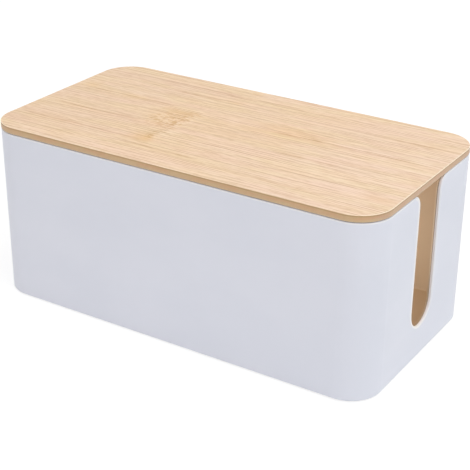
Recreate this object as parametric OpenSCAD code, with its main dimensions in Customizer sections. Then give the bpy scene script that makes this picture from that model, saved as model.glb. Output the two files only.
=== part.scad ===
// Cable management box: a moulded white shell with a slot at each end, a tan
// liner inside it, and a lift-off bamboo lid that two rails keep in place.
// Millimetres. Origin: centre of the footprint, on the table. +X runs along
// the box, -Y is the long front wall and +Z is up.

/* [Box] */
// Length of the lid, along X
box_length = 320; // [260:1:420]
// Width of the lid, along Y
box_width = 168; // [130:1:220]
// Height of the rim above the table
rim_height = 134; // [100:1:180]
// Radius of the lid's corners, seen from above
corner_radius = 25; // [16:0.5:36]
// How far the lid stands out past the rim
lid_overhang = 0.2; // [0:0.1:2]

/* [Shell] */
// Thickness of the shell's walls
shell_wall = 2.2; // [1.6:0.1:3.5]
// Thickness of the shell's floor
shell_floor = 2.8; // [2:0.1:5]
// How far each wall leans in between the rim and the base
wall_draft = 0.6; // [0:0.1:2.5]
// Radius of the outer edge round the base
base_edge = 1.5; // [0.4:0.1:3]
// Radius of the inner edge round the floor
floor_edge = 1.2; // [0.4:0.1:3]
// Radius of the two edges of the rim
rim_edge = 0.8; // [0.3:0.1:1]
// Height of the shadow gap that a step in the rim leaves under the lid
reveal_height = 0.7; // [0.3:0.1:1.2]
// Depth of the shadow gap
reveal_depth = 0.8; // [0.4:0.1:0.8]
// How far the walls reach down past the floor, as a skirt that hides the feet
skirt_height = 3; // [1:0.5:6]
// Thickness of the skirt at its foot
skirt_wall = 2.6; // [1.8:0.1:4]
// How much thicker the skirt is at the floor, so that it leaves the mould
skirt_draft = 0.3; // [0:0.1:1]

/* [Cable slots] */
// Width of each slot
slot_width = 32; // [20:1:50]
// Height of the slot's lowest point above the table
slot_bottom = 26; // [18:1:60]
// Radius of the two lips where the slot opens through the rim
slot_lip = 10.5; // [3:0.5:14]
// Bevel round the slot's outer and inner edges
slot_bevel = 0.45; // [0.1:0.05:0.7]

/* [Liner] */
// Thickness of the liner's walls
liner_wall = 1; // [0.8:0.1:2.5]
// Thickness of the liner's floor
liner_floor = 1.4; // [0.8:0.1:3]
// Clearance between the shell's walls and the liner
liner_gap = 0.3; // [0.1:0.05:1]
// How far the liner's top edge stays below the rim
liner_drop = 1.2; // [0.4:0.1:5]
// How far the liner is cut back round each slot
liner_setback = 0.5; // [0:0.1:2]

/* [Lid] */
// Thickness of the bamboo panel
lid_thickness = 5; // [4:0.5:10]
// Radius of the panel's upper and lower edges
lid_edge = 0.5; // [0.2:0.1:1.4]

/* [Lid rails] */
// Distance from the end of the lid to the end of each rail
rail_end = 48; // [36:1:80]
// Width of a rail
rail_width = 9; // [7:0.5:16]
// Depth of a rail below the panel
rail_depth = 7; // [4:0.5:14]
// Chamfer round a rail's lower edge, which leads the lid in
rail_chamfer = 1.5; // [0.4:0.1:2.2]
// Clearance between a rail and the liner
rail_gap = 1.2; // [0.4:0.1:3]

/* [Screws] */
// Number of screws in each rail
screws_per_rail = 3; // [2:1:5]
// Distance from a rail's end to its first screw
screw_end = 18; // [10:1:40]
// Diameter of a screw's shank
screw_shank = 2.4; // [2:0.1:3.5]
// Diameter of a screw's countersunk head
screw_head = 4.6; // [4:0.1:5.5]
// Depth that a screw reaches into the panel
screw_bite = 3.2; // [2:0.1:3.4]
// Clearance round a screw
screw_gap = 0.05; // [0.02:0.01:0.2]

/* [Feet] */
// Diameter of a rubber foot
foot_diameter = 16; // [10:0.5:24]
// How far a foot stands out below the shell
foot_proud = 1; // [0.6:0.1:4]
// Depth of the pocket that holds a foot
foot_pocket = 1.2; // [0.5:0.1:1.6]
// Distance from the centre of a foot to the lid's edges
foot_inset = 28; // [22:1:50]
// Clearance round a foot in its pocket
foot_gap = 0.1; // [0.05:0.05:0.5]
// Bevel round a foot's lower edge
foot_bevel = 0.4; // [0.1:0.1:0.5]
// Thickness of the round boss under the floor that holds a foot's pocket
foot_boss = 2; // [1.2:0.1:4]

/* [Hidden] */
$fn = 64;

// Steps in each small rounded edge
edge_steps = 6;
// Extra length that lets a cutter pass right through
beyond = 1;
// The shallow cross in a screw's head: depth, width of its arms, and length
cross_depth = 0.9;
cross_width = 0.7;
cross_length = 0.6 * screw_head;
// Thickness of the straight band round a screw's head
head_band = 0.25;

// The core is the rectangle between the centres of the corner arcs, which the
// lid, the shell and the liner share. Its corners go round from +X +Y.
core_length = box_length - 2 * corner_radius;
core_width = box_width - 2 * corner_radius;
core_corners = [[1, 1], [-1, 1], [-1, -1], [1, -1]];

// Heights
shell_base = foot_proud;
shell_underside = shell_base + skirt_height;
shell_inside = shell_underside + shell_floor;
liner_inside = shell_inside + liner_floor;
liner_top = rim_height - liner_drop;
rail_bottom = rim_height - rail_depth;

// Distances out from the core, at height z
function shell_outer(z) = corner_radius - lid_overhang
    - wall_draft * (rim_height - z) / (rim_height - shell_base);
function shell_inner(z) = shell_outer(z) - shell_wall;
function liner_outer(z) = shell_inner(z) - liner_gap;
function liner_inner(z) = liner_outer(z) - liner_wall;

// Edge radii that the walls and the step leave room for
rim_inner_round = min(rim_edge, 0.45 * shell_wall);
rim_outer_round = min(rim_edge, 0.9 * reveal_depth);
liner_round = 0.4 * liner_wall;
liner_base_edge = floor_edge + liner_gap;

// Rails and screws
rail_length = box_length - 2 * rail_end;
rail_y = core_width / 2 + liner_inner(rail_bottom) - rail_gap - rail_width / 2;
screw_span = rail_length - 2 * screw_end;
screw_xs = [
    for (i = [0 : screws_per_rail - 1])
        screw_span * (i / (screws_per_rail - 1) - 0.5)
];
head_height = head_band + (screw_head - screw_shank) / 2;

// Feet
foot_x = box_length / 2 - foot_inset;
foot_y = box_width / 2 - foot_inset;

// Points on an arc from angle a to angle b
function arc(centre, radius, a, b) = [
    for (i = [0 : edge_steps])
        centre + radius * [
            cos(a + (b - a) * i / edge_steps),
            sin(a + (b - a) * i / edge_steps),
        ]
];

// Carries a section, drawn outwards from the core and upwards, round the core
// and fills the middle from z_low to z_high.
module swept_body(z_low, z_high) {
    for (i = [0 : 3])
        translate([core_corners[i].x * core_length / 2, core_corners[i].y * core_width / 2, 0])
            rotate([0, 0, 90 * i])
                rotate_extrude(angle = 90)
                    children();
    for (side = [0, 180]) {
        rotate([0, 0, side])
            translate([core_length / 2, core_width / 2, 0])
                rotate([90, 0, 0])
                    linear_extrude(core_width)
                        children();
        rotate([0, 0, side])
            translate([-core_length / 2, core_width / 2, 0])
                rotate([90, 0, 90])
                    linear_extrude(core_length)
                        children();
    }
    translate([-core_length / 2, -core_width / 2, z_low])
        cube([core_length, core_width, z_high - z_low]);
}

// Section of the shell: floor, drafted wall, stepped rim and rounded edges
module shell_section() {
    low = shell_base + base_edge;
    ledge = rim_height - reveal_height;
    shoulder = ledge - rim_outer_round;
    landing = shell_outer(rim_height) - reveal_depth;
    high = rim_height - rim_inner_round;
    bend = shell_inside + floor_edge;
    polygon(concat(
        [[0, shell_base]],
        arc([shell_outer(low) - base_edge, low], base_edge, -90, 0),
        arc([shell_outer(shoulder) - rim_outer_round, shoulder], rim_outer_round, 0, 90),
        [[landing, ledge], [landing, rim_height]],
        arc([shell_inner(high) + rim_inner_round, high], rim_inner_round, 90, 180),
        arc([shell_inner(bend) - floor_edge, bend], floor_edge, 0, -90),
        [[0, shell_inside]]
    ));
}

// Section of the liner, which nests in the shell
module liner_section() {
    low = shell_inside + liner_base_edge;
    high = liner_top - liner_round;
    bend = liner_inside + floor_edge;
    polygon(concat(
        [[0, shell_inside]],
        arc([liner_outer(low) - liner_base_edge, low], liner_base_edge, -90, 0),
        arc([liner_outer(high) - liner_round, high], liner_round, 0, 90),
        arc([liner_inner(high) + liner_round, high], liner_round, 90, 180),
        arc([liner_inner(bend) - floor_edge, bend], floor_edge, 0, -90),
        [[0, liner_inside]]
    ));
}

// Section of the lid's panel
module lid_section() {
    low = rim_height + lid_edge;
    high = rim_height + lid_thickness - lid_edge;
    polygon(concat(
        [[0, rim_height]],
        arc([corner_radius - lid_edge, low], lid_edge, -90, 0),
        arc([corner_radius - lid_edge, high], lid_edge, 0, 90),
        [[0, rim_height + lid_thickness]]
    ));
}

// Outline of a slot, seen along X: round foot, straight sides and a mouth with
// two convex lips. A positive grow moves the whole edge outwards.
module slot_outline(grow) {
    half = slot_width / 2;
    top = rim_height + beyond;
    translate([0, slot_bottom + half])
        circle(half + grow);
    translate([-half - grow, slot_bottom + half])
        square([2 * (half + grow), top - slot_bottom - half]);
    difference() {
        translate([-half - slot_lip, rim_height - slot_lip])
            square([2 * (half + slot_lip), slot_lip + beyond]);
        for (side = [-1, 1])
            translate([side * (half + slot_lip), rim_height - slot_lip])
                circle(slot_lip - grow);
    }
}

// Cuts the slots at both ends from what it is given
module with_slots(grow) {
    difference() {
        children();
        for (turn = [0, 180])
            rotate([0, 0, turn])
                translate([core_length / 2 + beyond, 0, 0])
                    rotate([90, 0, 90])
                        linear_extrude(corner_radius + beyond)
                            slot_outline(grow);
    }
}

// Cutter for the bevel round a slot's edge. It has the slot's own outline at
// x = 0, and flares at 45 degrees towards +X.
module slot_bevel_cutter() {
    half = slot_width / 2;
    foot = slot_bottom + half;
    shoulder = rim_height - slot_lip;
    reach = slot_bevel + beyond;
    span = reach + beyond;
    translate([-beyond, 0, foot])
        rotate([0, 90, 0])
            cylinder(h = span, r1 = half - beyond, r2 = half + reach);
    translate([0, 0, foot])
        linear_extrude(rim_height + beyond - foot)
            polygon([
                [-beyond, beyond - half],
                [reach, -half - reach],
                [reach, half + reach],
                [-beyond, half - beyond],
            ]);
    difference() {
        translate([-beyond, -half - slot_lip, shoulder])
            cube([span, 2 * (half + slot_lip), slot_lip + beyond]);
        for (side = [-1, 1])
            translate([-beyond, side * (half + slot_lip), shoulder])
                rotate([0, 90, 0])
                    cylinder(h = span, r1 = slot_lip + beyond, r2 = slot_lip - reach);
    }
}

// Cutter for the recess under the floor, which leaves the skirt and a boss for
// each foot
module underside_cutter() {
    low = shell_base - beyond;
    reach = shell_outer(shell_base) - skirt_wall;
    difference() {
        swept_body(low, shell_underside)
            polygon([
                [0, low],
                [reach, low],
                [reach, shell_base],
                [reach - skirt_draft, shell_underside],
                [0, shell_underside],
            ]);
        for (sx = [-1, 1], sy = [-1, 1])
            translate([sx * foot_x, sy * foot_y, low - beyond])
                cylinder(h = skirt_height + 3 * beyond, d = foot_diameter + 2 * (foot_gap + foot_boss));
    }
}

module outer_shell() {
    color([0.86, 0.86, 0.87])
        difference() {
            with_slots(0)
                swept_body(shell_base, shell_inside)
                    shell_section();
            // The bevels follow the lean of the end walls.
            lean = atan(wall_draft / (rim_height - shell_base));
            for (turn = [0, 180])
                rotate([0, 0, turn]) {
                    translate([core_length / 2 + shell_outer(rim_height) - slot_bevel, 0, rim_height])
                        rotate([0, lean, 0])
                            translate([0, 0, -rim_height])
                                slot_bevel_cutter();
                    translate([core_length / 2 + shell_inner(rim_height) + slot_bevel, 0, rim_height])
                        rotate([0, lean, 0])
                            translate([0, 0, -rim_height])
                                mirror([1, 0, 0])
                                    slot_bevel_cutter();
                }
            underside_cutter();
            for (sx = [-1, 1], sy = [-1, 1])
                translate([sx * foot_x, sy * foot_y, shell_base - beyond])
                    cylinder(h = foot_pocket + beyond, d = foot_diameter + 2 * foot_gap);
        }
}

module inner_liner() {
    color([0.71, 0.59, 0.45])
        with_slots(liner_setback)
            swept_body(shell_inside, liner_inside)
                liner_section();
}

// Places its children under each screw, at the height of the rail's lower face
module at_screws(side) {
    for (x = screw_xs)
        translate([x, side * rail_y, rail_bottom])
            children();
}

module lid_panel() {
    color([0.93, 0.82, 0.70])
        difference() {
            swept_body(rim_height, rim_height + lid_thickness)
                lid_section();
            for (side = [-1, 1])
                at_screws(side)
                    cylinder(h = rail_depth + screw_bite + screw_gap, d = screw_shank + 2 * screw_gap);
        }
}

// Half of a rail's cross-section, from its middle outwards
module rail_section() {
    half = rail_width / 2;
    polygon([
        [0, rail_bottom],
        [half - rail_chamfer, rail_bottom],
        [half, rail_bottom + rail_chamfer],
        [half, rim_height],
        [0, rim_height],
    ]);
}

// A rail with round ends. side is -1 for the front and 1 for the rear.
module lid_rail(side) {
    straight = rail_length - rail_width;
    color([0.80, 0.67, 0.53])
        difference() {
            translate([0, side * rail_y, 0]) {
                for (end = [-1, 1])
                    translate([end * straight / 2, 0, 0])
                        rotate_extrude()
                            rail_section();
                for (half = [0, 1])
                    translate([-straight / 2, 0, 0])
                        rotate([90, 0, 90])
                            linear_extrude(straight)
                                mirror([half, 0])
                                    rail_section();
            }
            at_screws(side) {
                translate([0, 0, -beyond])
                    cylinder(h = rail_depth + 2 * beyond, d = screw_shank + 2 * screw_gap);
                translate([0, 0, -beyond])
                    cylinder(h = head_band + beyond, d = screw_head + 2 * screw_gap);
                translate([0, 0, head_band])
                    cylinder(
                        h = head_height - head_band,
                        d1 = screw_head + 2 * screw_gap,
                        d2 = screw_shank + 2 * screw_gap
                    );
            }
        }
}

module lid_rail_front() {
    lid_rail(-1);
}

module lid_rail_rear() {
    lid_rail(1);
}

// A countersunk wood screw, head down, with its head flush at z = 0
module countersunk_screw() {
    difference() {
        union() {
            cylinder(h = head_band, d = screw_head);
            translate([0, 0, head_band])
                cylinder(h = head_height - head_band, d1 = screw_head, d2 = screw_shank);
            cylinder(h = rail_depth + screw_bite, d = screw_shank);
        }
        for (turn = [0, 90])
            rotate([0, 0, turn])
                translate([-cross_length / 2, -cross_width / 2, -beyond])
                    cube([cross_length, cross_width, cross_depth + beyond]);
    }
}

module rail_screws() {
    color([0.76, 0.76, 0.74])
        for (side = [-1, 1])
            at_screws(side)
                countersunk_screw();
}

// A round rubber foot. sx and sy pick its corner.
module rubber_foot(sx, sy) {
    color([0.80, 0.80, 0.79])
        translate([sx * foot_x, sy * foot_y, 0]) {
            cylinder(h = foot_bevel, d1 = foot_diameter - 2 * foot_bevel, d2 = foot_diameter);
            translate([0, 0, foot_bevel])
                cylinder(h = foot_proud + foot_pocket - foot_bevel, d = foot_diameter);
        }
}

module foot_front_left() {
    rubber_foot(-1, -1);
}

module foot_front_right() {
    rubber_foot(1, -1);
}

module foot_rear_left() {
    rubber_foot(-1, 1);
}

module foot_rear_right() {
    rubber_foot(1, 1);
}

outer_shell();
inner_liner();
lid_panel();
lid_rail_front();
lid_rail_rear();
rail_screws();
foot_front_left();
foot_front_right();
foot_rear_left();
foot_rear_right();
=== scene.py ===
"""Looks of the cable management box: materials for each CAD node, floor, studio light and camera.

Lengths are metres in the row frame, and millimetres inside the materials. Where a pair of
numbers is called start and full, a smooth mask begins at the first and reaches 1 at the second.
"""

import math

import bpy
from mathutils import Matrix, Vector

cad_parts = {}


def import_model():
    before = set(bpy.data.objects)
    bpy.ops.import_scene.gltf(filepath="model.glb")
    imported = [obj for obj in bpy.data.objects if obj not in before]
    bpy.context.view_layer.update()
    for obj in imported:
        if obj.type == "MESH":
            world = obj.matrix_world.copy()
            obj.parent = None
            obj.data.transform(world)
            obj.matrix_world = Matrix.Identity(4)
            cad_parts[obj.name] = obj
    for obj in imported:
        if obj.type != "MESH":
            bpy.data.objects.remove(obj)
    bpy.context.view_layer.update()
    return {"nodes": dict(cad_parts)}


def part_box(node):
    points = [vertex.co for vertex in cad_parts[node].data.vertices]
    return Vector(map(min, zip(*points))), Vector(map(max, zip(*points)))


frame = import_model()

MM_PER_METRE = 1000.0
X, Y, Z = range(3)


# --- Sizes of the CAD model, in millimetres ------------------------------------

lid_low, lid_high = (corner * MM_PER_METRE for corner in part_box("lid_panel"))
_, liner_high = (corner * MM_PER_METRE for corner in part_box("inner_liner"))
_, shell_high = (corner * MM_PER_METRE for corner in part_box("outer_shell"))
LID_CORNER = 25.0
# The slots' half width, the centre of their round foot, and the radius of their lips
SLOT_HALF = 16.0
SLOT_FOOT = 42.0
SLOT_LIP = 10.5
# The shadow gap that the rim's step leaves under the lid
GAP_HEIGHT = 0.7
GAP_DEPTH = 0.8
# Margin with which a height is told from the one next to it
HEIGHT_MARGIN = 0.02


# --- Shader building -----------------------------------------------------------


def srgb(red, green, blue):
    """Linear colour with alpha, from display values of 0 to 255."""

    def linear(value):
        share = value / 255
        return share / 12.92 if share <= 0.04045 else ((share + 0.055) / 1.055) ** 2.4

    return (linear(red), linear(green), linear(blue), 1.0)


def empty_material(name):
    material = bpy.data.materials.new(name)
    material.use_nodes = True
    material.node_tree.nodes.clear()
    return material


class Nodes:
    """Adds nodes to a node tree. Apart from put and node, the methods return output sockets."""

    def __init__(self, tree):
        self.tree = tree

    def put(self, socket, value):
        """Sets an input socket to a value, or links it to an output socket."""
        if isinstance(value, bpy.types.NodeSocket):
            self.tree.links.new(value, socket)
        else:
            socket.default_value = value

    def node(self, kind, inputs=None, **settings):
        """A node of a kind without its prefix, with inputs by name or number."""
        node = self.tree.nodes.new("ShaderNode" + kind)
        for key, value in settings.items():
            setattr(node, key, value)
        for key, value in (inputs or {}).items():
            self.put(node.inputs[key], value)
        return node

    def math(self, operation, a, b=0.0, c=0.0):
        return self.node("Math", {0: a, 1: b, 2: c}, operation=operation).outputs[0]

    def plus(self, *values):
        total = values[0]
        for value in values[1:]:
            total = self.math("ADD", total, value)
        return total

    def minus(self, a, b):
        return self.math("SUBTRACT", a, b)

    def times(self, *values):
        product = values[0]
        for value in values[1:]:
            product = self.math("MULTIPLY", product, value)
        return product

    def absolute(self, value):
        return self.math("ABSOLUTE", value)

    def centred(self, value, amount):
        """A noise value of 0 to 1, turned into one of -amount/2 to amount/2."""
        return self.math("MULTIPLY_ADD", value, amount, -amount / 2)

    def smooth(self, value, start, end, low=0.0, high=1.0):
        """low where value is before start, high after end, and a smooth step between them."""
        if start > end:
            start, end, low, high = end, start, high, low
        inputs = {"Value": value, "From Min": start, "From Max": end, "To Min": low, "To Max": high}
        return self.node("MapRange", inputs, interpolation_type="SMOOTHSTEP").outputs["Result"]

    def near(self, value, centre, reach):
        """1 at centre, and 0 further away than reach."""
        return self.smooth(self.absolute(self.minus(value, centre)), reach, 0.0)

    def window(self, value, low, high, fade):
        """1 from low to high, with a fade inside each end."""
        return self.times(
            self.smooth(value, low, low + fade),
            self.smooth(value, high, high - fade),
        )

    def split(self, vector):
        return self.node("SeparateXYZ", {0: vector}).outputs

    def joined(self, x, y, z):
        return self.node("CombineXYZ", {0: x, 1: y, 2: z}).outputs[0]

    def scaled(self, vector, factors):
        return self.node("VectorMath", {0: vector, 1: factors}, operation="MULTIPLY").outputs[0]

    def length(self, vector):
        return self.node("VectorMath", {0: vector}, operation="LENGTH").outputs["Value"]

    def between(self, factor, a, b):
        """The value a where factor is 0, b where it is 1, and in between elsewhere."""
        return self.node("Mix", {0: factor, 2: a, 3: b}, data_type="FLOAT").outputs[0]

    def mix(self, factor, a, b, blend="MIX"):
        """The colour a where factor is 0, and b, blended with a, where it is 1."""
        inputs = {0: factor, 6: a, 7: b}
        return self.node("Mix", inputs, data_type="RGBA", blend_type=blend).outputs[2]

    def tinted(self, colour, factor):
        """colour, multiplied by another."""
        return self.mix(1.0, colour, factor, blend="MULTIPLY")

    def tinted_at(self, mask, colour, factor):
        """colour, multiplied by factor where mask is 1."""
        return self.mix(mask, colour, self.tinted(colour, factor))

    def seen_directly(self):
        """1 for camera, glossy and transmission rays, and 0 for the rays that light things."""
        path = self.node("LightPath").outputs
        value = path["Is Camera Ray"]
        for other in ("Is Glossy Ray", "Is Transmission Ray"):
            value = self.math("MAXIMUM", value, path[other])
        return value


class Shader(Nodes):
    """A material with a Principled BSDF. Its lengths are in millimetres."""

    def __init__(self, name):
        self.material = empty_material(name)
        super().__init__(self.material.node_tree)
        self.surface = self.node("BsdfPrincipled")
        self.node("OutputMaterial", {"Surface": self.surface.outputs["BSDF"]})

    def finish(self, **inputs):
        """Sets the Principled BSDF's inputs, with _ in place of a space. Returns the material."""
        for key, value in inputs.items():
            self.put(self.surface.inputs[key.replace("_", " ")], value)
        return self.material

    def position(self):
        """Place on the part in the row frame, in millimetres."""
        return self.scaled(self.node("TexCoord").outputs["Object"], (MM_PER_METRE,) * 3)

    def facing(self, axis, start, end):
        """0 to 1 as the normal's share along an axis, either way, goes from start to end."""
        normal = self.node("NewGeometry").outputs["Normal"]
        return self.smooth(self.absolute(self.split(normal)[axis]), start, end)

    def noise(self, vector, pitch, detail=2.0, roughness=0.5):
        """Noise whose grains are about pitch long in x, y and z."""
        inputs = {
            "Vector": self.scaled(vector, tuple(1 / size for size in pitch)),
            "Scale": 1.0,
            "Detail": detail,
            "Roughness": roughness,
        }
        return self.node("TexNoise", inputs).outputs["Fac"]

    def stripes(self, value, pitch, detail=0.0):
        """Noise of 0 to 1 that depends on value alone, with stripes about pitch wide."""
        inputs = {"W": self.math("MULTIPLY", value, 1 / pitch), "Scale": 1.0, "Detail": detail}
        return self.node("TexNoise", inputs, noise_dimensions="1D").outputs["Fac"]

    def ramp(self, value, stops):
        """A colour for value: stops are (place, colour) pairs."""
        node = self.node("ValToRGB", {"Fac": value})
        elements = node.color_ramp.elements
        while len(elements) < len(stops):
            elements.new(1.0)
        for element, (place, colour) in zip(elements, stops):
            element.position = place
            element.color = colour
        return node.outputs["Color"]

    def bump(self, height, depth):
        """A bump whose height of 0 to 1 stands for depth."""
        inputs = {"Height": height, "Distance": depth / MM_PER_METRE, "Strength": 1.0}
        return self.node("Bump", inputs).outputs["Normal"]


# --- Plastics --------------------------------------------------------------------

# Both plastics drift between two close tones
SHELL_TONES = (0.835, 0.845, 0.915, 1), (0.815, 0.828, 0.900, 1)
LINER_TONES = (0.67, 0.555, 0.415, 1), (0.635, 0.52, 0.385, 1)
# Size and depth of their fine grain
SHELL_GRAIN = (0.45, 0.02)
LINER_GRAIN = (0.6, 0.04)
# Size of their flow marks and waves, and the noise that separates the tones: start and full
FLOW_PITCH = (90, 90, 45)
FLOW_RANGE = (0.35, 0.65)
WAVE_PITCH = (60, 60, 60)
# How much of the roughness follows the flow marks and the fine grain
FLOW_SHEEN = 0.08
GRAIN_SHEEN = 0.06
# The liner's cut edge, as a share of its colour: painted light at the top of a slot, painted shade
# at its foot
LIT_CUT = (1.25, 1.28, 1.34, 1)
SHADED_CUT = (0.72, 0.68, 0.62, 1)
# A cut edge by its depth below the liner's outer face, and by its normal's share along X
CUT_DEPTH = (2.6, 1.8)
LINER_CUT = (0.75, 0.55)
SHELL_CUT = (0.5, 0.3)
# An upright face by its normal's share along Z
UPRIGHT = (0.8, 0.5)
# The shell's painted edge highlights, and its painted shade, as a share of its colour
EDGE_HIGHLIGHT = (1.0, 0.98, 0.95, 1)
GAP_SHADE = (0.42, 0.37, 0.32, 1)
WEDGE_SHADE = (0.62, 0.54, 0.49, 1)
# The painted highlight round a slot: distance from the outline, start and full
SLOT_LINE = (3.3, 1.9)
# Its strength along a slot's rear edge, and what the front edge has more
SLOT_LINE_REAR = 0.25
SLOT_LINE_MORE = 0.75
# The painted highlight under the shadow gap: its height, fade and strength
RIM_LINE = 1.3
RIM_LINE_FADE = 0.5
RIM_LINE_STRENGTH = 0.5
# The painted shade in the wedge under the lid: depth below the rim, start and full, and how far it
# goes past the slot's lips
WEDGE_DEPTH = (3.2, 1.2)
WEDGE_OVERRUN = 2.0


def slot_edge(shader, place):
    """1 on the liner's cut edges round the slots, and 0 on its walls."""
    x = shader.absolute(shader.split(place)[X])
    start, full = CUT_DEPTH
    outside = shader.smooth(x, liner_high.x - start, liner_high.x - full)
    return shader.times(outside, shader.facing(X, *LINER_CUT))


def from_slot(shader, place):
    """Distance from a slot's outline, outwards across the end wall."""
    _, y, z = shader.split(place)
    side = shader.absolute(y)
    below = shader.math("MINIMUM", shader.minus(z, SLOT_FOOT), 0.0)
    straight = shader.minus(shader.length(shader.joined(side, below, 0.0)), SLOT_HALF)
    lip_y = shader.minus(side, SLOT_HALF + SLOT_LIP)
    lip_z = shader.minus(z, shell_high.z - SLOT_LIP)
    inside_lip = shader.minus(SLOT_LIP, shader.length(shader.joined(lip_y, lip_z, 0.0)))
    at_lip = shader.times(
        shader.math("GREATER_THAN", z, shell_high.z - SLOT_LIP),
        shader.math("LESS_THAN", side, SLOT_HALF + SLOT_LIP),
    )
    return shader.between(at_lip, straight, inside_lip)


def painted_edge_highlights(shader, place):
    """1 where a highlight is painted along the shell's outer edges: round the slots and on top of
    the wall, under the lid.
    """
    x, y, z = shader.split(place)
    on_end = shader.math("GREATER_THAN", shader.absolute(x), shell_high.x - 3 * GAP_DEPTH)
    front = shader.times(shader.smooth(y, SLOT_HALF, -SLOT_HALF), SLOT_LINE_MORE)
    strength = shader.plus(SLOT_LINE_REAR, front)
    # The line is half as wide round the slot's foot
    at_foot = shader.smooth(z, SLOT_FOOT, SLOT_FOOT - SLOT_HALF)
    distance = shader.times(from_slot(shader, place), shader.plus(1.0, at_foot))
    # It fades where the lip meets the rim
    lip_end = SLOT_HALF + SLOT_LIP
    round_lip = shader.smooth(shader.absolute(y), lip_end, lip_end - 0.5 * SLOT_LIP)
    slot = shader.times(shader.smooth(distance, *SLOT_LINE), on_end, strength, round_lip)
    ledge = shell_high.z - GAP_HEIGHT
    rim = shader.window(z, ledge - RIM_LINE, ledge + HEIGHT_MARGIN, RIM_LINE_FADE)
    return shader.math("MAXIMUM", slot, shader.times(rim, RIM_LINE_STRENGTH))


def painted_gap_shade(shader, place):
    """1 on the upright back of the shadow gap, where shade is painted."""
    z = shader.split(place)[Z]
    ledge = shell_high.z - GAP_HEIGHT
    above = shader.math("GREATER_THAN", z, ledge + HEIGHT_MARGIN)
    return shader.times(above, shader.facing(Z, *UPRIGHT))


def painted_wedge_shade(shader, place):
    """1 where shade is painted in the narrow wedge between the lid and a slot's lips, on the cut
    edge.
    """
    _, y, z = shader.split(place)
    start, full = WEDGE_DEPTH
    lip_end = SLOT_HALF + SLOT_LIP + WEDGE_OVERRUN
    return shader.times(
        shader.smooth(z, shell_high.z - start, shell_high.z - full),
        shader.facing(X, *SHELL_CUT),
        shader.math("LESS_THAN", shader.absolute(y), lip_end),
    )


def moulded_plastic(name, tones, roughness, fine_grain):
    """(shader, colour, place) of moulded plastic with fine grain, flow marks and uneven sheen."""
    shader = Shader(name)
    place = shader.position()
    pitch, depth = fine_grain
    flow = shader.noise(place, FLOW_PITCH, detail=3)
    grain = shader.noise(place, (pitch,) * 3, detail=2, roughness=0.6)
    waves = shader.noise(place, WAVE_PITCH, detail=1)
    height = shader.plus(shader.times(grain, 0.5), shader.times(waves, 0.5))
    sheen = shader.plus(
        roughness, shader.centred(flow, FLOW_SHEEN), shader.centred(grain, GRAIN_SHEEN)
    )
    shader.finish(Roughness=sheen, Specular_IOR_Level=0.45, Normal=shader.bump(height, depth))
    return shader, shader.mix(shader.smooth(flow, *FLOW_RANGE), *tones), place


def white_shell():
    """White plastic with painted highlights along its edges, and painted shade in the shadow gap
    and under the lid.
    """
    shader, colour, place = moulded_plastic(
        "white_shell", SHELL_TONES, roughness=0.42, fine_grain=SHELL_GRAIN
    )
    # Painted highlights along the edges, then painted shade in the shadow gap and in the wedge
    # under the lid
    colour = shader.mix(painted_edge_highlights(shader, place), colour, EDGE_HIGHLIGHT)
    colour = shader.tinted_at(painted_gap_shade(shader, place), colour, GAP_SHADE)
    colour = shader.tinted_at(painted_wedge_shade(shader, place), colour, WEDGE_SHADE)
    return shader.finish(Base_Color=colour)


def tan_liner():
    """Tan plastic whose cut edges round the slots have painted light at the top and painted shade
    towards the foot.
    """
    shader, colour, place = moulded_plastic(
        "tan_liner", LINER_TONES, roughness=0.60, fine_grain=LINER_GRAIN
    )
    foot_shade = shader.smooth(shader.split(place)[Z], 2 * SLOT_FOOT, SLOT_FOOT - SLOT_HALF)
    cut = shader.mix(foot_shade, LIT_CUT, SHADED_CUT)
    # The cut edge gets painted light at the top of a slot and painted shade towards its foot
    colour = shader.tinted_at(slot_edge(shader, place), colour, cut)
    return shader.finish(Base_Color=colour)


# --- Bamboo: the lid's pattern, in millimetres -----------------------------------

# Longer dark streaks: start and end along X, place along Y, half width, and strength
STREAKS = [
    (-158, -60, -18.5, 1.1, 1.0),
    (-150, -85, -23.5, 0.8, 0.5),
    (-152, -56, 20.5, 1.2, 1.0),
    (-104, -34, 51.0, 1.1, 0.9),
    (16, 158, 15.0, 1.2, 0.9),
    (10, 105, 24.0, 0.9, 0.5),
    (46, 104, -18.0, 1.0, 0.7),
    (104, 160, 49.0, 1.1, 0.8),
    (-158, -36, -51.0, 1.0, 0.9),
    (-31, 10, 48.0, 0.9, 0.6),
    (-66, 18, -59.5, 0.9, 0.9),
    (20, 120, -66.0, 0.9, 0.5),
    (60, 150, -44.0, 1.0, 0.5),
    (-120, 20, 66.0, 1.0, 0.5),
    (-20, 60, -33.0, 0.8, 0.5),
]
# The grain's layers of noise: length along X, width, and strength
LAYERS = [
    (300, 14, 0.25),
    (22, 1.0, 0.55),
    (6, 0.75, 0.85),
]
# Its lines: width, strength, and how far along X one stays as it is
LINES = [
    (2.0, 0.3, 70.0),
    (1.2, 2.2, 42.0),
]
# A line turns over with a slow noise, start and full, and has this strength before that
TURN_RANGE = (0.36, 0.58)
TURNED = -0.6
# How far the grain sways across the board, and the size of its bends
SWAY = 5.0
SWAY_PITCH = (150, 45, 45)
# Gaps that break the streaks: size, and the noise at which a streak shows, start and full
STREAK_GAPS = (18, 0.8, 0.8)
STREAK_RANGE = (0.3, 0.6)
# Areas that are more yellow and more pink: size, and noise, start and full
YELLOW_PITCH = (60, 14, 14)
YELLOW_RANGE = (0.65, 0.35)
PINK_PITCH = (38, 9, 9)
PINK_RANGE = (0.38, 0.62)
# A painted sheen of cool light makes the board less yellow along X, less so at the back:
# millimetres, start and full
SHEEN_SLANT = -0.5
SHEEN_RANGE = (0.0, 150.0)

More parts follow.
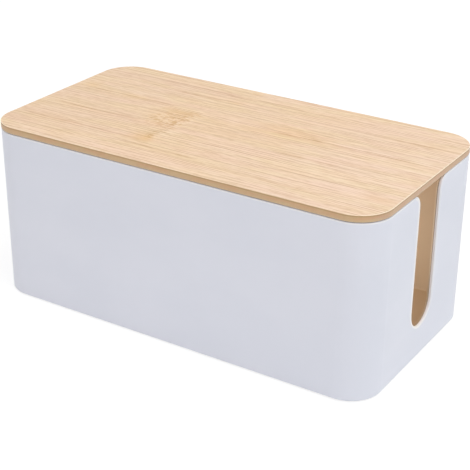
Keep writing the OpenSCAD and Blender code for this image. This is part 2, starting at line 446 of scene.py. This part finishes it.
# The joint across the grain: its line's place along X, and its reach along Y
JOINT_X = -42.0
JOINT_LOW_Y = -49.0
JOINT_HIGH_Y = 18.0
JOINT_FADE = 9
# How far the ends of its strands wander along X, each by itself and many together,
# and the width of a strand and of such a group
STRAND_WANDER = 34.0
STRAND_WIDTH = 1.5
GROUP_WANDER = 14.0
GROUP_WIDTH = 22
# Half lengths of its dark and pale ticks, and how far the pale ones lie beside the dark ones
DARK_TICK = 4.5
PALE_TICK = 5.0
PALE_SHIFT = 6.0
# Gaps between the ticks: size, and the noise at which a tick shows, start and full
TICK_GAPS = (3.0, 1.4, 1.4)
TICK_RANGE = (0.36, 0.52)
# The yellowed patch round it: reach along X and Y, and fades. Its outline wanders along X,
# by a share of that along Y, and in bends of this size
PATCH_X = (-72.0, -28.0)
PATCH_X_FADE = 14
PATCH_Y = (-31.0, JOINT_HIGH_Y + 5)
PATCH_Y_FADE = 15
PATCH_WANDER = 26.0
PATCH_WANDER_Y = 0.4
PATCH_BENDS = (9, 5, 5)
# The patch's crossed strands: their turns from the grain in degrees, their size,
# and their place along Y, start and full
WEAVE_TURNS = (-70, 8)
WEAVE_PITCH = (7.0, 1.4, 1.4)
WEAVE_Y = (16.0, -4.0)
# Dark and pale crossed strands: the noise at which they show, start and full, and strength
CROSSING_RANGE = (0.56, 0.66)
CROSSING_STRENGTH = 0.5
LIFTING_RANGE = (0.46, 0.36)
LIFTING_STRENGTH = 1.3

# Amber marks: centre, half lengths along X and Y, and strength
AMBER_MARKS = [
    (-45.0, -45.0, 18.0, 13.0, 0.75),
    (-41.0, -44.0, 7.0, 12.0, 0.3),
    (-50.0, 14.0, 48.0, 50.0, 0.16),
    (42.0, 19.0, 44.0, 20.0, 0.5),
    (8.0, 8.0, 40.0, 14.0, 0.16),
    (-99.0, 21.0, 18.0, 8.0, 0.3),
    (-147.0, 26.0, 12.0, 9.0, 0.45),
    (-27.0, 51.5, 9.0, 5.0, 0.4),
    (-25.0, 78.0, 9.0, 5.0, 0.4),
    (148.0, -52.0, 22.0, 8.0, 0.35),
]

# The painted highlight on the arris: its width, its strength, and how much stronger it is at the
# board's ends
ARRIS_WIDTH = 0.8
ARRIS_STRENGTH = 0.4
ARRIS_MORE_AT_ENDS = 0.5
# The edge: depth and half width of the glue line under the face, and height above the lower
# face at which the core gets paler, start and full
GLUE_DEPTH = 0.9
GLUE_REACH = 0.55
LOWER_BAND = (3.2, 0.4)
# The core's upright ticks and longer areas: size, and the noise that separates their hues
CORE_TICKS = (1.3, 1.3, 14.0)
CORE_AREAS = (16.0, 16.0, 3.0)
CORE_RANGE = (0.4, 0.6)
# End grain by its normal's share along X, and the face by its normal's share along Z
END_GRAIN = (0.6, 0.95)
TOP_FACE = (0.25, 0.6)

# The first colour is the painted highlight on the arris
ARRIS_HIGHLIGHT = srgb(255, 240, 214)
BAMBOO_LIGHT = srgb(252, 224, 193)
BAMBOO_MIDDLE = srgb(239, 208, 173)
BAMBOO_DARK = srgb(217, 182, 141)
TONE_STOPS = [(0.1, BAMBOO_DARK), (0.5, BAMBOO_MIDDLE), (0.9, BAMBOO_LIGHT)]
CORE_DARK = srgb(206, 168, 127)
CORE_LIGHT = srgb(220, 184, 144)
CORE_LOWER = srgb(218, 190, 152)
GLUE_LINE = srgb(184, 150, 105)

# Tints, as a share of the colour: the strands' own hues, then those of single places
PLAIN, YELLOW = (1.0, 0.97, 0.99, 1), (1.0, 0.985, 0.93, 1)
GREENISH, PINK = (0.995, 1.004, 0.99, 1), (1.006, 0.992, 1.0, 1)
CORE_PINK, CORE_GREENISH = (1.03, 0.98, 0.97, 1), (0.98, 1.01, 0.97, 1)
# The next tint is a painted sheen, not a hue of the board
SHEEN_TINT = (1.0, 1.02, 1.075, 1)
STREAK_TINT = (0.80, 0.69, 0.55, 1)
PATCH_TINT = (0.975, 0.92, 0.79, 1)
TICK_TINT = (0.82, 0.74, 0.62, 1)
AMBER_TINT = (0.95, 0.865, 0.61, 1)
END_GRAIN_TINT = (0.99, 0.98, 1.09, 1)
UNLACQUERED = (0.86, 0.84, 0.80, 1)


# --- Bamboo: materials -------------------------------------------------------------


def from_rim(shader, place):
    """Distance from the lid's outline, inwards across its face."""
    x, y, _ = shader.split(place)
    past = []
    for value, half in ((x, lid_high.x), (y, lid_high.y)):
        beyond = shader.minus(shader.absolute(value), half - LID_CORNER)
        past.append(shader.math("MAXIMUM", beyond, 0.0))
    return shader.minus(LID_CORNER, shader.length(shader.joined(*past, 0.0)))


def bamboo_grain(shader, place):
    """Fine straight grain along X: (tone of 0 to 1, grain coordinates)."""
    x, y, z = shader.split(place)
    sway = shader.centred(shader.noise(place, SWAY_PITCH, detail=1), SWAY)
    grain = shader.joined(x, shader.plus(y, sway), z)
    across = shader.split(grain)[Y]
    tone = 0.5
    for length, width, strength in LAYERS:
        layer = shader.noise(grain, (length, width, width), detail=1)
        tone = shader.plus(tone, shader.centred(layer, strength))
    # Each line fades and turns from dark to pale, or back, along its way
    for width, strength, length in LINES:
        change = shader.noise(grain, (length, 3 * width, 3 * width), detail=1)
        turn = shader.between(shader.smooth(change, *TURN_RANGE), TURNED, 1.0)
        line = shader.centred(shader.stripes(across, width), strength)
        tone = shader.plus(tone, shader.times(line, turn))
    return tone, grain


def bamboo_colour(shader, tone, grain):
    """Colour of the strands: their tone, and long areas that are more yellow or more pink."""
    yellow = shader.smooth(shader.noise(grain, YELLOW_PITCH, detail=2), *YELLOW_RANGE)
    pink = shader.smooth(shader.noise(grain, PINK_PITCH, detail=2), *PINK_RANGE)
    colour = shader.tinted(shader.ramp(tone, TONE_STOPS), shader.mix(yellow, PLAIN, YELLOW))
    return shader.tinted(colour, shader.mix(pink, GREENISH, PINK))


def streak_mask(shader, grain):
    """1 in the longer dark streaks."""
    x, y, _ = shader.split(grain)
    streaks = 0.0
    for start, end, centre, half_width, strength in STREAKS:
        along = shader.window(x, start, end, (end - start) / 5)
        across = shader.near(y, centre, 2 * half_width)
        streaks = shader.plus(streaks, shader.times(along, across, strength))
    broken = shader.noise(grain, STREAK_GAPS, detail=2)
    return shader.times(streaks, shader.smooth(broken, *STREAK_RANGE))


def amber_mask(shader, grain):
    """1 in the strongest amber marks, and less in the others."""
    x, y, _ = shader.split(grain)
    amber = 0.0
    for centre_x, centre_y, half_x, half_y, strength in AMBER_MARKS:
        spot = shader.times(shader.near(x, centre_x, half_x), shader.near(y, centre_y, half_y))
        amber = shader.plus(amber, shader.times(spot, strength))
    return amber


def joint_masks(shader, grain):
    """Masks of the joint: (yellowed patch, dark ticks where strands end, pale ticks)."""
    x, y, _ = shader.split(grain)
    strand = shader.noise(shader.joined(0.0, y, 0.0), (1, STRAND_WIDTH, 1), detail=1)
    group = shader.noise(shader.joined(0.0, y, 7.0), (1, GROUP_WIDTH, 1), detail=1)
    ragged = shader.plus(
        x, shader.centred(strand, STRAND_WANDER), shader.centred(group, GROUP_WANDER)
    )
    reach = shader.window(y, JOINT_LOW_Y, JOINT_HIGH_Y, JOINT_FADE)
    ends = shader.times(shader.near(ragged, JOINT_X, DARK_TICK), reach)
    pale = shader.times(shader.near(ragged, JOINT_X + PALE_SHIFT, PALE_TICK), reach)
    broken = shader.smooth(shader.noise(grain, TICK_GAPS, detail=2), *TICK_RANGE)

    wander = shader.centred(shader.noise(grain, PATCH_BENDS, detail=2), PATCH_WANDER)
    patch_x = shader.plus(x, wander)
    patch_y = shader.plus(y, shader.times(wander, PATCH_WANDER_Y))
    patch = shader.times(
        shader.window(patch_x, *PATCH_X, PATCH_X_FADE),
        shader.window(patch_y, *PATCH_Y, PATCH_Y_FADE),
    )
    weave = []
    for turn in WEAVE_TURNS:
        inputs = {"Vector": grain, "Angle": math.radians(turn)}
        turned = shader.node("VectorRotate", inputs, rotation_type="Z_AXIS").outputs[0]
        weave.append(shader.noise(turned, WEAVE_PITCH, detail=0))
    crossing = shader.smooth(shader.math("MAXIMUM", *weave), *CROSSING_RANGE)
    lifting = shader.smooth(shader.math("MINIMUM", *weave), *LIFTING_RANGE)
    woven = shader.times(patch, shader.smooth(y, *WEAVE_Y))

    crossed = shader.times(woven, crossing, CROSSING_STRENGTH)
    dark = shader.plus(shader.times(ends, broken), crossed)
    pale = shader.plus(pale, shader.times(woven, lifting, LIFTING_STRENGTH))
    return patch, shader.math("MINIMUM", dark, 1.0), shader.times(pale, broken)


def bamboo_edge(shader, place):
    """Colour of the board's edge: the core with upright ticks, and a dark glue line."""
    z = shader.split(place)[Z]
    ticks = shader.noise(place, CORE_TICKS, detail=2, roughness=0.6)
    areas = shader.noise(place, CORE_AREAS, detail=1)
    shade = shader.plus(0.5, shader.centred(ticks, 0.5), shader.centred(areas, 1.0))
    core = shader.mix(shade, CORE_DARK, CORE_LIGHT)
    hue = shader.mix(shader.smooth(areas, *CORE_RANGE), CORE_PINK, CORE_GREENISH)
    core = shader.tinted(core, hue)
    core = shader.mix(shader.near(z, lid_high.z - GLUE_DEPTH, GLUE_REACH), core, GLUE_LINE)
    start, full = LOWER_BAND
    lower = shader.smooth(z, lid_low.z + start, lid_low.z + full)
    core = shader.mix(shader.times(lower, 0.5), core, CORE_LOWER)
    return shader.tinted_at(shader.facing(X, *END_GRAIN), core, END_GRAIN_TINT)


def bamboo_panel():
    """Lacquered bamboo: streaked grain, one joint across it, a darker edge, a painted highlight on
    the arris and a painted sheen along X.
    """
    shader = Shader("bamboo_panel")
    place = shader.position()
    tone, grain = bamboo_grain(shader, place)
    x, y, _ = shader.split(grain)
    face = bamboo_colour(shader, tone, grain)
    # A painted sheen of cool light, less yellow along X
    sheen_mask = shader.smooth(shader.math("MULTIPLY_ADD", y, SHEEN_SLANT, x), *SHEEN_RANGE)
    face = shader.tinted_at(sheen_mask, face, SHEEN_TINT)
    streaks = streak_mask(shader, grain)
    face = shader.tinted_at(streaks, face, STREAK_TINT)
    yellowed, dark, pale = joint_masks(shader, grain)
    face = shader.tinted_at(yellowed, face, PATCH_TINT)
    face = shader.tinted_at(dark, face, TICK_TINT)
    face = shader.tinted_at(amber_mask(shader, grain), face, AMBER_TINT)
    face = shader.mix(shader.times(pale, 0.5), face, BAMBOO_LIGHT)
    # Painted highlight along the arris, stronger at the board's ends
    arris_highlight = shader.smooth(from_rim(shader, place), ARRIS_WIDTH, 0.3 * ARRIS_WIDTH)
    at_end = shader.smooth(shader.absolute(x), lid_high.x - LID_CORNER, lid_high.x)
    strength = shader.plus(ARRIS_STRENGTH, shader.times(at_end, ARRIS_MORE_AT_ENDS))
    face = shader.mix(shader.times(arris_highlight, strength), face, ARRIS_HIGHLIGHT)
    colour = shader.mix(shader.facing(Z, *TOP_FACE), bamboo_edge(shader, place), face)

    # The lacquer sinks into the dark ticks and streaks and is less glossy there
    height = shader.plus(
        shader.times(tone, 0.6), shader.times(dark, -0.3), shader.times(streaks, -0.2)
    )
    return shader.finish(
        Base_Color=colour,
        Roughness=shader.plus(0.42, shader.centred(tone, -0.12), shader.times(dark, 0.08)),
        Specular_IOR_Level=0.4,
        Normal=shader.bump(height, depth=0.05),
    )


def bamboo_rail():
    """Sanded bamboo without lacquer."""
    shader = Shader("bamboo_rail")
    tone, grain = bamboo_grain(shader, shader.position())
    return shader.finish(
        Base_Color=shader.tinted(bamboo_colour(shader, tone, grain), UNLACQUERED),
        Roughness=shader.plus(0.62, shader.centred(tone, -0.1)),
        Specular_IOR_Level=0.3,
        Normal=shader.bump(tone, depth=0.08),
    )


# --- Metal and rubber ----------------------------------------------------------------

ZINC_DARK, ZINC_LIGHT = (0.55, 0.55, 0.53, 1), (0.70, 0.69, 0.66, 1)
RUBBER_BARE, RUBBER_DUSTY = (0.58, 0.58, 0.56, 1), (0.66, 0.66, 0.64, 1)


def zinc_steel():
    """Zinc-plated screws: fine turning marks and a slightly cloudy plating."""
    shader = Shader("zinc_steel")
    place = shader.position()
    cloud = shader.noise(place, (1.5, 1.5, 1.5), detail=3)
    turning = shader.noise(place, (2.0, 2.0, 0.12), detail=2)
    return shader.finish(
        Base_Color=shader.mix(cloud, ZINC_DARK, ZINC_LIGHT),
        Metallic=1.0,
        Roughness=shader.plus(0.32, shader.centred(cloud, 0.2)),
        Normal=shader.bump(turning, depth=0.01),
    )


def grey_rubber():
    """Matt rubber: fine pitted skin, with dust that makes it paler in places."""
    shader = Shader("grey_rubber")
    place = shader.position()
    dust = shader.noise(place, (5, 5, 5), detail=3)
    skin = shader.noise(place, (0.35, 0.35, 0.35), detail=2)
    return shader.finish(
        Base_Color=shader.mix(shader.smooth(dust, 0.4, 0.7), RUBBER_BARE, RUBBER_DUSTY),
        Roughness=shader.plus(0.78, shader.centred(skin, 0.15)),
        Specular_IOR_Level=0.35,
        Normal=shader.bump(skin, depth=0.04),
    )


# --- Materials on the CAD nodes -------------------------------------------------------

rail_material = bamboo_rail()
rubber_material = grey_rubber()
NODE_MATERIALS = {
    "outer_shell": white_shell(),
    "inner_liner": tan_liner(),
    "lid_panel": bamboo_panel(),
    "lid_rail_front": rail_material,
    "lid_rail_rear": rail_material,
    "rail_screws": zinc_steel(),
    "foot_front_left": rubber_material,
    "foot_front_right": rubber_material,
    "foot_rear_left": rubber_material,
    "foot_rear_right": rubber_material,
}

for name, material in NODE_MATERIALS.items():
    for slot in frame["nodes"][name].material_slots:
        slot.material = material


# --- Floor and background ----------------------------------------------------------------

FLOOR_HALF_WIDTH = 4.0
FLOOR_COLOUR = (0.85, 0.85, 0.85, 1)
# What the camera and reflections see of the floor: plain white, and some of its light and shadow
FLOOR_WHITE = 0.80
FLOOR_SHADING = 0.34
# White that is added away from the box, where the lamps don't reach: amount, start and full
FAR_WHITE = 0.09
FAR_START = 0.45
FAR_FULL = 1.4
# Light of the world on the object, and what is seen of it directly
AMBIENT = (0.5, 0.5, 0.51, 1)
BACKDROP = (1, 1, 1, 1)


def floor_material():
    material = empty_material("studio_floor")
    nodes = Nodes(material.node_tree)
    direct = nodes.seen_directly()
    shaded = tuple(FLOOR_SHADING * part for part in FLOOR_COLOUR[:3]) + (1,)
    colour = nodes.mix(direct, FLOOR_COLOUR, shaded)
    distance = nodes.length(nodes.node("TexCoord").outputs["Object"])
    level = nodes.smooth(distance, FAR_START, FAR_FULL, FLOOR_WHITE, FLOOR_WHITE + FAR_WHITE)
    diffuse = nodes.node("BsdfDiffuse", {"Color": colour}).outputs[0]
    white = nodes.node("Emission", {"Strength": nodes.times(direct, level)}).outputs[0]
    total = nodes.node("AddShader", {0: diffuse, 1: white}).outputs[0]
    nodes.node("OutputMaterial", {"Surface": total})
    return material


def floor():
    half = FLOOR_HALF_WIDTH
    corners = [(-half, -half, 0), (half, -half, 0), (half, half, 0), (-half, half, 0)]
    mesh = bpy.data.meshes.new("floor")
    mesh.from_pydata(corners, [], [(0, 1, 2, 3)])
    mesh.materials.append(floor_material())
    plane = bpy.data.objects.new("floor", mesh)
    bpy.context.scene.collection.objects.link(plane)


def world():
    scene_world = bpy.data.worlds.new("studio")
    bpy.context.scene.world = scene_world
    scene_world.use_nodes = True
    nodes = Nodes(scene_world.node_tree)
    colour = nodes.mix(nodes.seen_directly(), AMBIENT, BACKDROP)
    nodes.put(nodes.tree.nodes["Background"].inputs["Color"], colour)


floor()
world()


# --- Camera and lamps ------------------------------------------------------------------

VIEW_AZIMUTH = math.radians(32.1836)
VIEW_ELEVATION = math.radians(25.6432)
VIEW_ROLL = math.radians(0.4388)
VIEW_DISTANCE = 0.97705
VIEW_TARGET = Vector((-0.00799, 0.02006, 0.04423))
LENS_MM = 96.535
SENSOR_MM = 36.0
VIEW_REACH = 20.0

# Soft boxes round the part: azimuth and elevation in degrees, distance from LAMP_TARGET,
# size, watts and colour
LAMP_TARGET = Vector((0, 0, 0.07))
SOFT_BOXES = {
    "key": (78, 66, 1.8, 1.4, 17.0, (1, 1, 1)),
    "front_fill": (-15, 25, 1.8, 1.0, 3.0, (1, 1, 1)),
    "end_fill": (95, 18, 0.9, 0.6, 0.2, (0.5, 0.88, 1.0)),
}

# Panels inside the part stand for the light that its walls pass on: the side along Y that
# each one lights. They stand back to back and overlap, so that the floor under them stays even
INNER_PANELS = {"inner_rear": 1, "inner_front": -1}
INNER_SIZE = (0.25, 0.082)
INNER_WATTS = 0.080
INNER_HEIGHT = 0.060
INNER_OVERLAP = 0.004


def direction(azimuth, elevation):
    """Unit vector out of the box: azimuth 0 is out of the front, and 90 degrees is towards +X."""
    return Vector((
        math.sin(azimuth) * math.cos(elevation),
        -math.cos(azimuth) * math.cos(elevation),
        math.sin(elevation),
    ))


def camera():
    data = bpy.data.cameras.new("camera")
    data.lens = LENS_MM
    data.sensor_width = SENSOR_MM
    data.clip_end = VIEW_REACH
    viewer = bpy.data.objects.new("camera", data)
    bpy.context.scene.collection.objects.link(viewer)
    back = direction(VIEW_AZIMUTH, VIEW_ELEVATION)
    right = Vector((0, 0, 1)).cross(back).normalized()
    level = Matrix((right, back.cross(right), back)).transposed().to_4x4()
    turn = Matrix.Rotation(VIEW_ROLL, 4, "Z")
    viewer.matrix_world = Matrix.Translation(VIEW_TARGET + VIEW_DISTANCE * back) @ level @ turn
    bpy.context.scene.camera = viewer


def area_lamp(name, location, back, size, watts, colour=(1, 1, 1)):
    """A rectangular lamp that the camera doesn't see. back points away from what it lights."""
    data = bpy.data.lights.new(name, "AREA")
    data.shape = "RECTANGLE"
    data.size, data.size_y = size
    data.energy = watts
    data.color = colour
    lamp = bpy.data.objects.new(name, data)
    bpy.context.scene.collection.objects.link(lamp)
    lamp.location = location
    lamp.rotation_euler = back.to_track_quat("Z", "Y").to_euler()
    lamp.visible_camera = False
    return lamp


def lamps():
    for name, (azimuth, elevation, distance, size, watts, colour) in SOFT_BOXES.items():
        back = direction(math.radians(azimuth), math.radians(elevation))
        area_lamp(name, LAMP_TARGET + distance * back, back, (size, size), watts, colour)
    for name, side in INNER_PANELS.items():
        location = (0.0, -side * INNER_OVERLAP, INNER_HEIGHT)
        panel = area_lamp(name, location, Vector((0, -side, 0)), INNER_SIZE, INNER_WATTS)
        panel.visible_glossy = False


camera()
lamps()

bpy.context.scene.view_settings.view_transform = "Standard"
